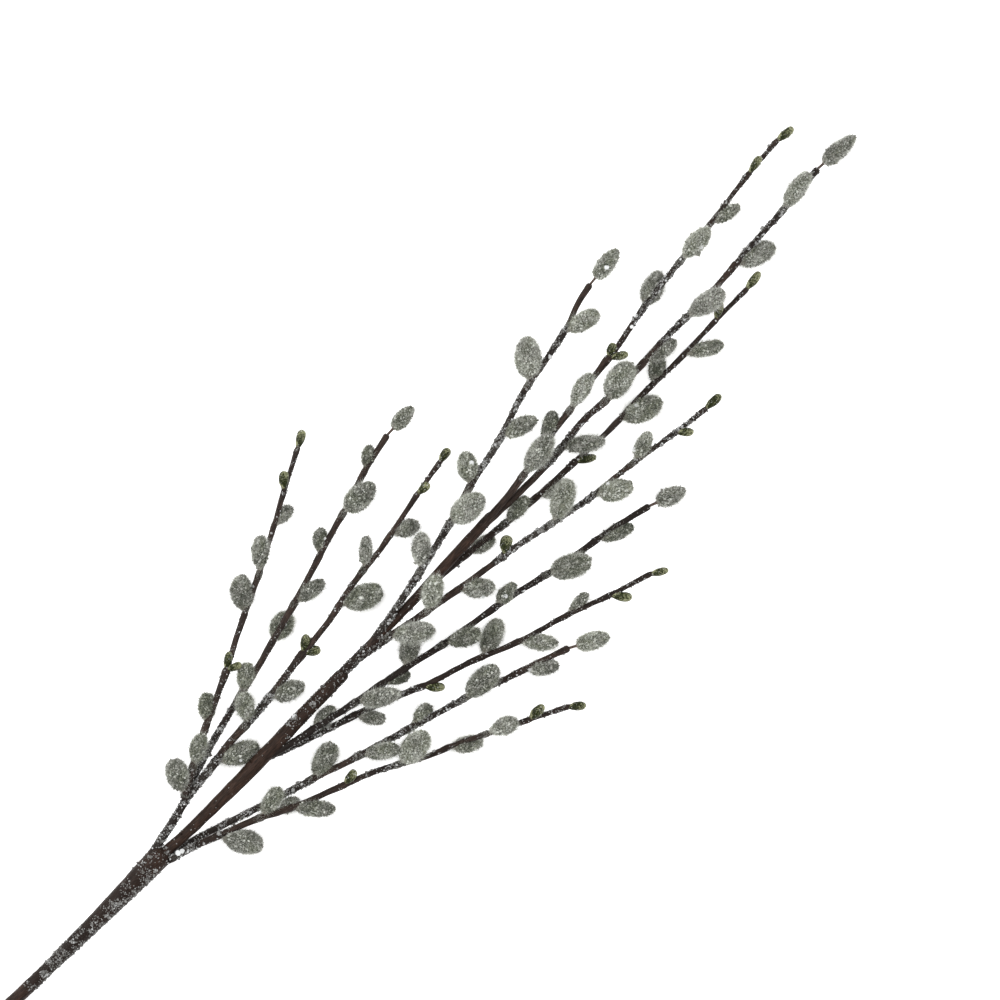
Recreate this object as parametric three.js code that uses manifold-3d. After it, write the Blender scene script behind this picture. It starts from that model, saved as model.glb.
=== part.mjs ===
// A pussy-willow branch, cut and laid down: a taped main stem, twelve twigs, frosted catkins and green buds.
// Millimetres, +Z up. All places are read along the branch: x runs from the first fork towards the tip,
// y to the left of the stem, and z up from the surface that the branch lies on.

import * as THREE from "three";
import { mergeVertices } from "three/addons/utils/BufferGeometryUtils.js";
import Module from "manifold-3d";

const wasm = await Module();
wasm.setup();

// Driving dimensions
const SEAT_GAP = 0.3;
const BOX_MIDDLE = { x: 207, y: -0.6 };

// Stem and twigs
const STEM_SIDES = 10;
const TWIG_SIDES = 6;
const TWIG_RING_STEP = 13;
const TWIG_ROOT_RADIUS = 2;
const ARM_ROOT_RADIUS = 2.6;
const CATKIN_END_RADIUS = 1.65;
const BUD_END_RADIUS = 1.3;
const SEAT_HALVINGS = 20;

// Catkins and buds: a thin stalk, then a round body whose profile is in shares of its length and half width
const CATKIN_SIDES = 7;
const CATKIN_STALK = { length: 2.5, radius: 0.9 };
const TIP_CATKIN_STALK = { length: 5, radius: 0.6 };
const CATKIN_PROFILE = [[0.14, 0.62], [0.47, 1], [0.84, 0.74]];
const BUD_SIDES = 5;
const BUD_STALK = { length: 1.2, radius: 0.9 };
const BUD_PROFILE = [[0.3, 1], [0.7, 0.76]];

// The surface below the branch, which flattens whatever presses on it
const SURFACE = { length: 900, width: 400, thickness: 20 };

// Finishes
const BARK = { color: 0x3a2c26, roughness: 0.75 };
const TWIG_WITH_CATKINS = { color: 0x8a9286, roughness: 0.9 };

// Main stem: x, y, z, radius. The radius drops where a tape wrap ends.
const MAIN_STEM = [
  [-190, -2.2, 3.7, 4.1],
  [-155, -2.1, 3.8, 4.1],
  [-125, -2, 4.6, 4.1],
  [-95, -2.7, 6.2, 3.9],
  [-60, -3, 8.9, 4.8],
  [-30, -3, 11.6, 5.9],
  [-10, -2.7, 13.4, 6.8],
  [3, -2.7, 14.4, 6.9],
  [6, -3.1, 14.6, 3.3],
  [20, -4.1, 15.6, 3.3],
  [40, -4.5, 16.9, 3.6],
  [60, -4.6, 18, 4.2],
  [80, -4.4, 18.8, 4.4],
  [100, -4, 19.5, 4.3],
  [120, -3.4, 20, 4.2],
  [156, -2.9, 21, 4],
  [158, -2.3, 21, 2.9],
  [200, -2, 22, 2.7],
  [220, -1.6, 22.4, 2.9],
  [260, 0.3, 23.1, 3.05],
  [286, 1.2, 23.5, 3.2],
  [288, 1.2, 23.5, 2.5],
];

// Twigs: the path is a list of x, y, z. A catkin or bud is the x where it sits on the twig, the x and y of
// its tip, how far the tip rises above the seat (down is negative), and its width. A row whose seat is the
// last x of the path ends the twig.
const TWIGS = [
  {
    name: "left_low_inner",
    carriedBy: "main_stem",
    rootRadius: ARM_ROOT_RADIUS,
    path: [
      [-6, 1, 15], [20, 6.2, 17], [40, 11, 18], [60, 13.2, 18], [80, 16, 17.5], [100, 16.8, 17.5],
      [120, 19, 17.5], [145, 22.4, 17.5], [175, 25.8, 17.5], [190, 29.3, 17.5], [207, 32.2, 17],
      [225, 34, 16.5], [260, 40.9, 15], [290, 46.3, 13],
    ],
    catkins: [
      [65, 91, 1.5, -5, 14], [94, 107.5, 31.5, 7, 12], [115, 136.5, 8.5, -2, 12.5],
      [184, 209.5, 15.5, -4, 15.5], [210, 226, 46, 3, 9], [236, 253, 28, -6, 11],
    ],
    buds: [
      [148, 158, 29.5, 1, 5.5], [148, 157.5, 17, -1, 6], [264, 274, 41.5, 3, 5.5], [290, 297.5, 47.8, 0, 5],
    ],
  },
  {
    name: "left_low_middle",
    carriedBy: "left_low_inner",
    path: [
      [36, 11.5, 15.8], [55, 18.4, 14], [80, 25.6, 12.8], [105, 31.8, 12.5], [120, 35.3, 12.6],
      [150, 43.4, 12.8], [168, 48.4, 13], [185, 53.4, 13.2], [210, 61.2, 13.2], [230, 66.8, 13],
      [250, 73.5, 12.5], [277, 79.8, 11.5],
    ],
    catkins: [
      [105, 121.5, 42.3, 4, 11], [140, 159.5, 46, -12.6, 13.5], [166, 189, 44.5, 0, 10],
      [196.5, 210, 69, -4, 9.5], [225, 251, 64.5, 11, 14.5], [251.5, 266, 83.3, -3, 8.5],
      [277, 300.5, 80.7, -2, 9.5],
    ],
    buds: [],
  },
  {
    name: "left_low_outer",
    carriedBy: "left_low_inner",
    path: [
      [36, 11.5, 19.8], [48, 17.9, 20.3], [58, 24, 20.2], [72, 31, 19.6], [90, 39.4, 18.6], [107, 47.3, 17.5],
      [130, 59.3, 15.5], [165, 76.2, 11.5], [190, 89.4, 8.8], [213, 102, 8], [235, 113.3, 7.5],
    ],
    catkins: [
      [38, 48.5, 34, 3, 14.5], [54, 72.5, 31.5, 9, 10.5], [77, 91.5, 47.3, -3, 11],
      [140, 155.5, 83.5, -4, 14], [164, 181, 91, 7, 11], [190, 206, 90.5, -9, 9],
    ],
    buds: [
      [108, 118, 54.8, 1, 5], [108, 117.8, 44.8, 3, 5], [209, 217.5, 108.5, 2, 6], [235, 243, 118, 0, 5],
    ],
  },
  {
    name: "right_low_inner",
    carriedBy: "main_stem",
    path: [
      [-4, -4.5, 11.5], [20, -9.5, 11], [40, -15.8, 11], [65, -24.2, 11.2], [85, -30.5, 11.5],
      [105, -36.7, 12], [119, -41.7, 12.3], [135, -46.3, 12.5], [155, -52.4, 12.5], [185, -61.3, 12.5],
      [205, -67.3, 12.5], [220, -73, 12.5], [245, -81.3, 12], [263.5, -88, 11],
    ],
    catkins: [
      [99, 124, -28.5, 2, 13.5], [130, 149.5, -59.5, 5, 10.5], [163, 181, -53, -5, 9.5],
      [198, 226, -65, 11, 14.5], [235, 252.5, -91.5, -4, 10.5], [263.5, 286.5, -100.5, -3, 11.5],
    ],
    buds: [],
  },
  {
    name: "right_low_outer",
    carriedBy: "main_stem",
    path: [
      [-4, -6, 15], [20, -13.1, 15.5], [40, -20.7, 16.3], [60, -28.7, 16.6], [80, -38.9, 16],
      [110, -50.7, 14.5], [130, -58.8, 13], [144, -66.5, 12], [157, -73.8, 11], [175, -81, 9.6],
      [193, -90, 9], [218, -102.5, 9], [240, -113.5, 8.5],
    ],
    catkins: [
      [35, 49.5, -43, -3, 14.5], [61, 82.5, -24.5, 6, 11], [70, 85, -37.8, -9, 10],
      [78, 96.5, -58, -2, 10.5], [142, 168, -63.5, 10, 15.5], [170, 187.5, -91.8, -9.5, 10.5],
      [192, 211.5, -97, 7, 11],
    ],
    buds: [[110, 121, -49, 2, 5.5], [216, 228.5, -101.5, 3, 6], [240, 246.5, -119.5, 0, 5]],
  },
  {
    name: "right_mid_inner",
    carriedBy: "main_stem",
    path: [
      [82, -4, 19], [100, -9.2, 20], [120, -13.7, 20.5], [150, -20.3, 20.5], [170, -23.9, 19], [190, -28, 17],
      [210, -32.6, 16], [230, -36.1, 15.5], [258, -40.9, 15], [290, -48.3, 14.5], [308, -51.7, 14],
      [332, -55.6, 13], [358, -61.8, 12],
    ],
    catkins: [
      [120, 139.5, -13.5, -8, 10], [150, 174, -36, 3, 11.5], [169, 186, -31.5, -6, 8.5],
      [185, 204.5, -12.5, -7, 11], [212, 233.5, -44, 5, 11.5], [249.5, 269, -37.3, -1, 9.5],
      [286, 311, -60, 9, 15], [321, 343.5, -64, -4, 9.5], [358, 380, -69.7, -3, 11],
    ],
    buds: [],
  },
  {
    name: "right_mid_outer",
    carriedBy: "main_stem",
    path: [
      [84, -4.5, 16], [100, -10.6, 15.5], [115, -16, 15], [140, -24.3, 13.8], [152, -28.2, 13.2],
      [172, -36.4, 12.3], [190, -43.9, 12], [215, -51.8, 11.8], [235, -60.1, 11.8], [248, -64.9, 12],
      [275, -72.7, 11.5], [303, -82.8, 10.5], [331, -91.6, 9],
    ],
    catkins: [
      [144, 155.5, -41, -4, 9.5], [223, 246.5, -46, -12, 13], [244.5, 261.5, -82, -1, 10],
      [277, 295.5, -72.5, -4, 8],
    ],
    buds: [[185, 194, -52, -1, 5.5], [303, 311.8, -93.3, 0, 6], [331, 339, -97, 0, 4.5]],
  },
  {
    name: "left_high",
    carriedBy: "main_stem",
    path: [
      [178, -2, 22.5], [195, 0.3, 24.5], [205, 2.1, 25.5], [230, 7.2, 27], [268, 16.3, 27], [290, 22.7, 26],
      [320, 29.4, 24], [335, 34.2, 23], [350, 39.3, 22], [380, 45, 19.5], [400, 49.6, 17.5],
      [414, 54.7, 16.5], [427, 57.6, 15.5],
    ],
    catkins: [
      [233.5, 251, 24.5, 2, 12], [266, 292.5, 13, 9, 16], [290, 303.5, 40.3, 0, 12.5],
      [324, 348, 23.3, -2, 11], [359, 378.7, 62.8, 0, 15], [395, 419.5, 42, -2, 12],
      [427, 454.5, 60.7, -2, 11],
    ],
    buds: [],
  },
  {
    name: "right_high",
    carriedBy: "main_stem",
    path: [
      [168, -3, 21], [182, -5.2, 22], [195, -7.2, 23.2], [222, -12.6, 25], [260, -18.8, 26],
      [285, -22.6, 26.5], [315, -29, 26], [335, -32.8, 25.2], [365, -36, 23], [400, -41.6, 20],
      [424, -44.5, 18],
    ],
    catkins: [
      [192, 215, -23.5, 8, 13.5], [219, 239, -1, 12, 12.5], [241, 259, -31, -2, 12.5],
      [310, 336, -17, 8, 14], [339, 360, -46.8, -1, 13], [370, 390.5, -30, 1, 10],
    ],
    buds: [[275, 284.3, -14.8, 2, 6.5], [400, 408.3, -49, -1, 5.5], [424, 435.5, -44.8, 0, 5.5]],
  },
  {
    name: "tip_left",
    carriedBy: "main_stem",
    path: [
      [278, 1, 25], [300, 2.5, 27], [320, 5.2, 27.5], [346, 10.2, 26], [365, 12.8, 24], [390, 16.8, 20.5],
      [412, 19.5, 17], [440, 24.9, 12.6], [477, 29.3, 12], [503, 32.1, 11.5], [540, 37, 10],
      [569, 39.4, 8.5],
    ],
    catkins: [
      [318, 346.5, 10, 11, 14], [340, 358.5, 19.7, -3, 10], [365.5, 390, 19.5, 9, 10.8],
      [440, 463, 33.5, -12.5, 13], [476, 502, 31, 10, 11.5], [504, 525, 27.5, -4, 9],
    ],
    buds: [
      [403, 412, 22.7, 1, 5.5], [403, 413.5, 11.8, -1, 5.3], [541, 553.5, 39.7, 3, 5], [569, 580, 38, 0, 5.5],
    ],
  },
  {
    name: "tip_middle",
    carriedBy: "main_stem",
    path: [
      [280, 0, 21.5], [300, -0.6, 21.5], [332, -0.7, 21.3], [350, 1, 21], [368, 2.7, 20.5], [385, 1.4, 20],
      [405, 1.2, 19.2], [435, 2.7, 17.5], [455, 2.7, 15.8], [482, 3.1, 13], [510, 5.4, 10.8], [538, 7, 9.8],
      [573, 10, 8],
    ],
    catkins: [
      [345, 367.5, -15.8, 2, 11], [384, 411, 6.8, 10, 15.5], [418, 439, -6, -4, 9],
      [454, 481.5, -2.5, 9, 12.8], [497, 522.5, -4.5, -11.8, 12.3], [541, 567.7, 12.5, 9, 11],
      [573, 604, 8, -2, 11],
    ],
    buds: [],
  },
  {
    name: "tip_right",
    carriedBy: "main_stem",
    path: [
      [232, -2, 21.5], [245, -3.2, 19], [260, -4.7, 17], [290, -8, 15], [310, -9.8, 14], [345, -11.4, 12.8],
      [375, -12.5, 11.7], [400, -11.4, 11.4], [432, -12.2, 11], [460, -11.2, 10.5], [493, -11, 9.5],
    ],
    catkins: [
      [261, 279.5, -9.5, -7, 10], [289.5, 310.8, -6, 5, 9.8], [314, 335.5, -19, -4, 10.5],
      [381.5, 409, -22.5, -3, 14.5], [411, 425, -1.3, -3, 9], [437, 459.2, -25, -2, 10],
    ],
    buds: [[345, 356.5, -18.2, 0, 5.5], [465, 475.2, -5.3, 2, 5], [493, 504.5, -9.3, 0, 5.5]],
  },
];

function toSolid(geometry) {
  const bare = geometry.clone();
  bare.deleteAttribute("normal");
  bare.deleteAttribute("uv");
  const merged = mergeVertices(bare, 1e-4);
  const triangles = [];
  for (let i = 0; i < merged.index.count; i += 3) {
    const [a, b, c] = [merged.index.getX(i), merged.index.getX(i + 1), merged.index.getX(i + 2)];
    if (a !== b && b !== c && c !== a) {
      triangles.push(a, b, c);
    }
  }
  const vertProperties = new Float32Array(merged.attributes.position.array);
  const triVerts = new Uint32Array(triangles);
  return new wasm.Manifold(new wasm.Mesh({ numProp: 3, vertProperties, triVerts }));
}

function toGeometry(solid) {
  const { vertProperties, triVerts } = solid.getMesh();
  const geometry = new THREE.BufferGeometry();
  geometry.setAttribute("position", new THREE.BufferAttribute(vertProperties, 3));
  geometry.setIndex(new THREE.BufferAttribute(triVerts, 1));
  geometry.computeVertexNormals();
  return geometry;
}

// A closed rod whose rings stand across the line through their middles, with one radius each
function bentRod(rings, sides) {
  const last = rings.length - 1;
  const geometry = new THREE.CylinderGeometry(1, 1, 1, sides, last);
  const places = geometry.attributes.position;
  const up = new THREE.Vector3(0, 0, 1);
  for (let i = 0; i < places.count; i += 1) {
    const index = Math.round((0.5 - places.getY(i)) * last);
    const { middle, radius } = rings[index];
    const before = rings[Math.max(index - 1, 0)].middle;
    const after = rings[Math.min(index + 1, last)].middle;
    const forward = after.clone().sub(before).normalize();
    const left = up.clone().cross(forward).normalize();
    const above = forward.clone().cross(left);
    const place = middle.clone();
    place.addScaledVector(left, places.getX(i) * radius);
    place.addScaledVector(above, places.getZ(i) * radius);
    places.setXYZ(i, place.x, place.y, place.z);
  }
  return toSolid(geometry);
}

function twigCurve(twig) {
  const points = twig.path.map((place) => new THREE.Vector3(...place));
  return new THREE.CatmullRomCurve3(points, false, "centripetal");
}

function pointAtX(curve, x) {
  let low = 0;
  let high = 1;
  for (let halving = 0; halving < SEAT_HALVINGS; halving += 1) {
    const middle = (low + high) / 2;
    if (curve.getPointAt(middle).x < x) {
      low = middle;
    } else {
      high = middle;
    }
  }
  return curve.getPointAt((low + high) / 2);
}

// The grown stem is also longer at its end, where two twigs leave it
function stemRod(grow) {
  const rings = MAIN_STEM.map(([x, y, z, radius]) => ({
    middle: new THREE.Vector3(x, y, z),
    radius: radius + grow,
  }));
  rings[rings.length - 1].middle.x += grow;
  return bentRod(rings, STEM_SIDES);
}

function endX(twig) {
  return twig.path[twig.path.length - 1][0];
}

function twigRod(twig, grow) {
  const curve = twigCurve(twig);
  const rootRadius = twig.rootRadius ?? TWIG_ROOT_RADIUS;
  const endsInCatkin = twig.catkins.some(([seatX]) => seatX === endX(twig));
  const endRadius = endsInCatkin ? CATKIN_END_RADIUS : BUD_END_RADIUS;
  const steps = Math.round(curve.getLength() / TWIG_RING_STEP);
  const rings = [];
  for (let step = 0; step <= steps; step += 1) {
    const share = step / steps;
    const radius = THREE.MathUtils.lerp(rootRadius, endRadius, share) + grow;
    rings.push({ middle: curve.getPointAt(share), radius });
  }
  return bentRod(rings, TWIG_SIDES);
}

// A stalk and a round body turned about the line from the seat to the tip
function growth(seat, tip, width, stalk, profile, sides) {
  const length = seat.distanceTo(tip);
  const body = length - stalk.length;
  const outline = [new THREE.Vector2(0, 0), new THREE.Vector2(stalk.radius, 0)];
  outline.push(new THREE.Vector2(stalk.radius, stalk.length));
  for (const [along, across] of profile) {
    outline.push(new THREE.Vector2((across * width) / 2, stalk.length + along * body));
  }
  outline.push(new THREE.Vector2(0, length));
  const geometry = new THREE.LatheGeometry(outline, sides);
  const axis = tip.clone().sub(seat).normalize();
  const turn = new THREE.Quaternion().setFromUnitVectors(new THREE.Vector3(0, 1, 0), axis);
  geometry.applyQuaternion(turn);
  geometry.translate(seat.x, seat.y, seat.z);
  return toSolid(geometry);
}

function growths(twig) {
  const curve = twigCurve(twig);
  const solids = [];
  const place = ([seatX, tipX, tipY, rise, width], stalk, profile, sides) => {
    const seat = pointAtX(curve, seatX);
    const tip = new THREE.Vector3(tipX, tipY, seat.z + rise);
    solids.push(growth(seat, tip, width, stalk, profile, sides));
  };
  for (const row of twig.catkins) {
    const stalk = row[0] === endX(twig) ? TIP_CATKIN_STALK : CATKIN_STALK;
    place(row, stalk, CATKIN_PROFILE, CATKIN_SIDES);
  }
  for (const row of twig.buds) {
    place(row, BUD_STALK, BUD_PROFILE, BUD_SIDES);
  }
  return solids;
}

const surface = new THREE.BoxGeometry(SURFACE.length, SURFACE.width, SURFACE.thickness);
surface.translate(BOX_MIDDLE.x, BOX_MIDDLE.y, -SURFACE.thickness / 2);
const surfaceSolid = toSolid(surface);

const arm = TWIGS.find((twig) => twig.name === "left_low_inner");
const carriers = {
  main_stem: stemRod(SEAT_GAP),
  left_low_inner: twigRod(arm, SEAT_GAP),
};

function twigSolid(twig) {
  let solid = twigRod(twig, 0);
  for (const grown of growths(twig)) {
    solid = solid.add(grown);
  }
  return solid.subtract(carriers[twig.carriedBy]).subtract(surfaceSolid);
}

const branch = new THREE.Group();
branch.position.set(-BOX_MIDDLE.x, -BOX_MIDDLE.y, 0);

function addPiece(name, solid, finish) {
  const material = new THREE.MeshStandardMaterial({ ...finish, metalness: 0 });
  const mesh = new THREE.Mesh(toGeometry(solid), material);
  mesh.name = name;
  branch.add(mesh);
}

addPiece("main_stem", stemRod(0).subtract(surfaceSolid), BARK);
for (const twig of TWIGS) {
  addPiece(twig.name, twigSolid(twig), TWIG_WITH_CATKINS);
}

export default branch;
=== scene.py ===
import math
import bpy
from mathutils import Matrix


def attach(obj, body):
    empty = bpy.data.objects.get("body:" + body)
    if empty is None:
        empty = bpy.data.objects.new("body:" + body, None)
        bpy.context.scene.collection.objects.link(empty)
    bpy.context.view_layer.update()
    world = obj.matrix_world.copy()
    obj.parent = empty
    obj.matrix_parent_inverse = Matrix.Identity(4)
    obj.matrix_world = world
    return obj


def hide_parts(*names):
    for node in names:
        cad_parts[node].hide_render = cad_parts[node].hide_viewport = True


bl_info = {
    "name": "Frosted willow branch",
    "version": (1, 0, 0),
    "blender": (4, 5, 0),
    "location": "3D View > Sidebar > Willow",
    "description": "Makes a pussy-willow branch that lies down, with its bark, catkins, buds and frost",
    "category": "Add Mesh",
}

import zlib

import bpy
import numpy as np
from bpy.props import FloatProperty, FloatVectorProperty, PointerProperty

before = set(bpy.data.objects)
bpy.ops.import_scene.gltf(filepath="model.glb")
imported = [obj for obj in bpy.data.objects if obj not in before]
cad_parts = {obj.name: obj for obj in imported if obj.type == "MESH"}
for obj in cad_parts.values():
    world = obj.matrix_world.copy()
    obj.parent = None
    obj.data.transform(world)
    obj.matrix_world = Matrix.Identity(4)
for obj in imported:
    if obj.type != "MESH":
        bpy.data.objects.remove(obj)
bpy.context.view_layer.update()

# The lists below are in millimetres along the branch: x runs from the first fork towards the tip, y to the
# left of the stem, z up from the surface. The meshes are in metres, from the middle of the branch.
MM = 0.001
BRANCH_MIDDLE = np.array([207, -0.6, 0])

# Main stem: x, y, z, radius. The radius drops where a tape wrap ends.
MAIN_STEM = [
    (-190, -2.2, 3.7, 4.1),
    (-155, -2.1, 3.8, 4.1),
    (-125, -2, 4.6, 4.1),
    (-95, -2.7, 6.2, 3.9),
    (-60, -3, 8.9, 4.8),
    (-30, -3, 11.6, 5.9),
    (-10, -2.7, 13.4, 6.8),
    (3, -2.7, 14.4, 6.9),
    (6, -3.1, 14.6, 3.3),
    (20, -4.1, 15.6, 3.3),
    (40, -4.5, 16.9, 3.6),
    (60, -4.6, 18, 4.2),
    (80, -4.4, 18.8, 4.4),
    (100, -4, 19.5, 4.3),
    (120, -3.4, 20, 4.2),
    (156, -2.9, 21, 4),
    (158, -2.3, 21, 2.9),
    (200, -2, 22, 2.7),
    (220, -1.6, 22.4, 2.9),
    (260, 0.3, 23.1, 3.05),
    (286, 1.2, 23.5, 3.2),
    (288, 1.2, 23.5, 2.5),
]

# Frost on the main stem: from x, to x, share of the bark that is covered, and how far it keeps to the left
# side (1) or the right side (-1)
STEM_FROST = [
    (-112, -98, 0.25, -0.9), (-98, -75, 0.48, -0.25), (-75, -58, 0.34, -0.25), (-58, -28, 0.25, -0.8),
    (-28, -6, 0.2, -0.8), (-12, 10, 0.12, 0.5), (10, 30, 0.04, 0), (30, 105, 0.01, 0), (105, 145, 0.14, 0.5),
    (145, 157, 0.18, 0), (157, 182, 0.32, 0), (182, 214, 0.06, 0), (214, 286, 0.01, 0),
]

# Thick clumps of frost on the main stem: x, y, width
FROST_CLUMPS = [
    (-98, -2.5, 3), (-90, -1, 3), (-85, -4, 2.5), (-72, -2, 2), (-60, -4.5, 2.5), (-46, -5.5, 3),
    (-38, -3.5, 4.5), (-35, -5.5, 3), (-24, -7, 2.5), (-14, -7.5, 3), (-6, -7, 2.5), (-8, 1.5, 2),
    (112, -1, 2), (118, -0.6, 3.5), (131, -2.5, 2),
]

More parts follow.
